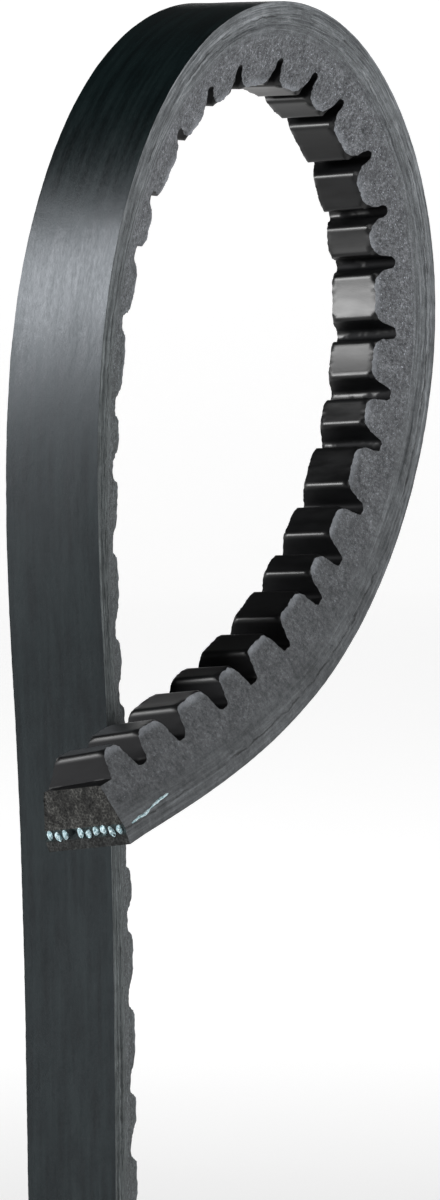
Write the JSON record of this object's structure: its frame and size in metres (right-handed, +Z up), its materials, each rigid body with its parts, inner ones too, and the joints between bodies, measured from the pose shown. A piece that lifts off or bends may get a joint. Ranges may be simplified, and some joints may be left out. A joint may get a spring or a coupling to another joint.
{
  "type": "cogged v belt length",
  "caption": "Cut length of raw-edge cogged V belt bent into an open loop, with sloped drive flanks, a flat smooth back, cords inside and notched rubber on the inner face.",
  "frame": {"origin": "centre of the cord line on the square-cut lower end face, the end of the tail", "axes": "+Z up the tail along the belt, +X from the smooth back towards the cogs at the tail end, +Y across the belt"},
  "size_m": [0.0646, 0.0226, 0.1212],
  "materials": {
    "back_rubber": "smooth dark rubber, slight satin",
    "overcord_rubber": "raw cut edge, streaked lengthwise",
    "gum": "raw cut edge",
    "cord": "twisted polyester, pale blue-white",
    "cog_rubber": "moulded cog faces glossy, cut flanks grey and fibrous"
  },
  "bodies": {
    "root": {"back_cover_ply": "back_rubber", "overcord_ply": "overcord_rubber", "adhesion_gum": "gum", "tensile_cord_01": "cord", "tensile_cord_02": "cord", "tensile_cord_03": "cord", "tensile_cord_04": "cord", "tensile_cord_05": "cord", "tensile_cord_06": "cord", "tensile_cord_07": "cord", "tensile_cord_08": "cord", "tensile_cord_09": "cord", "tensile_cord_10": "cord", "compression_rubber": "cog_rubber"}
  },
  "joints": []
}
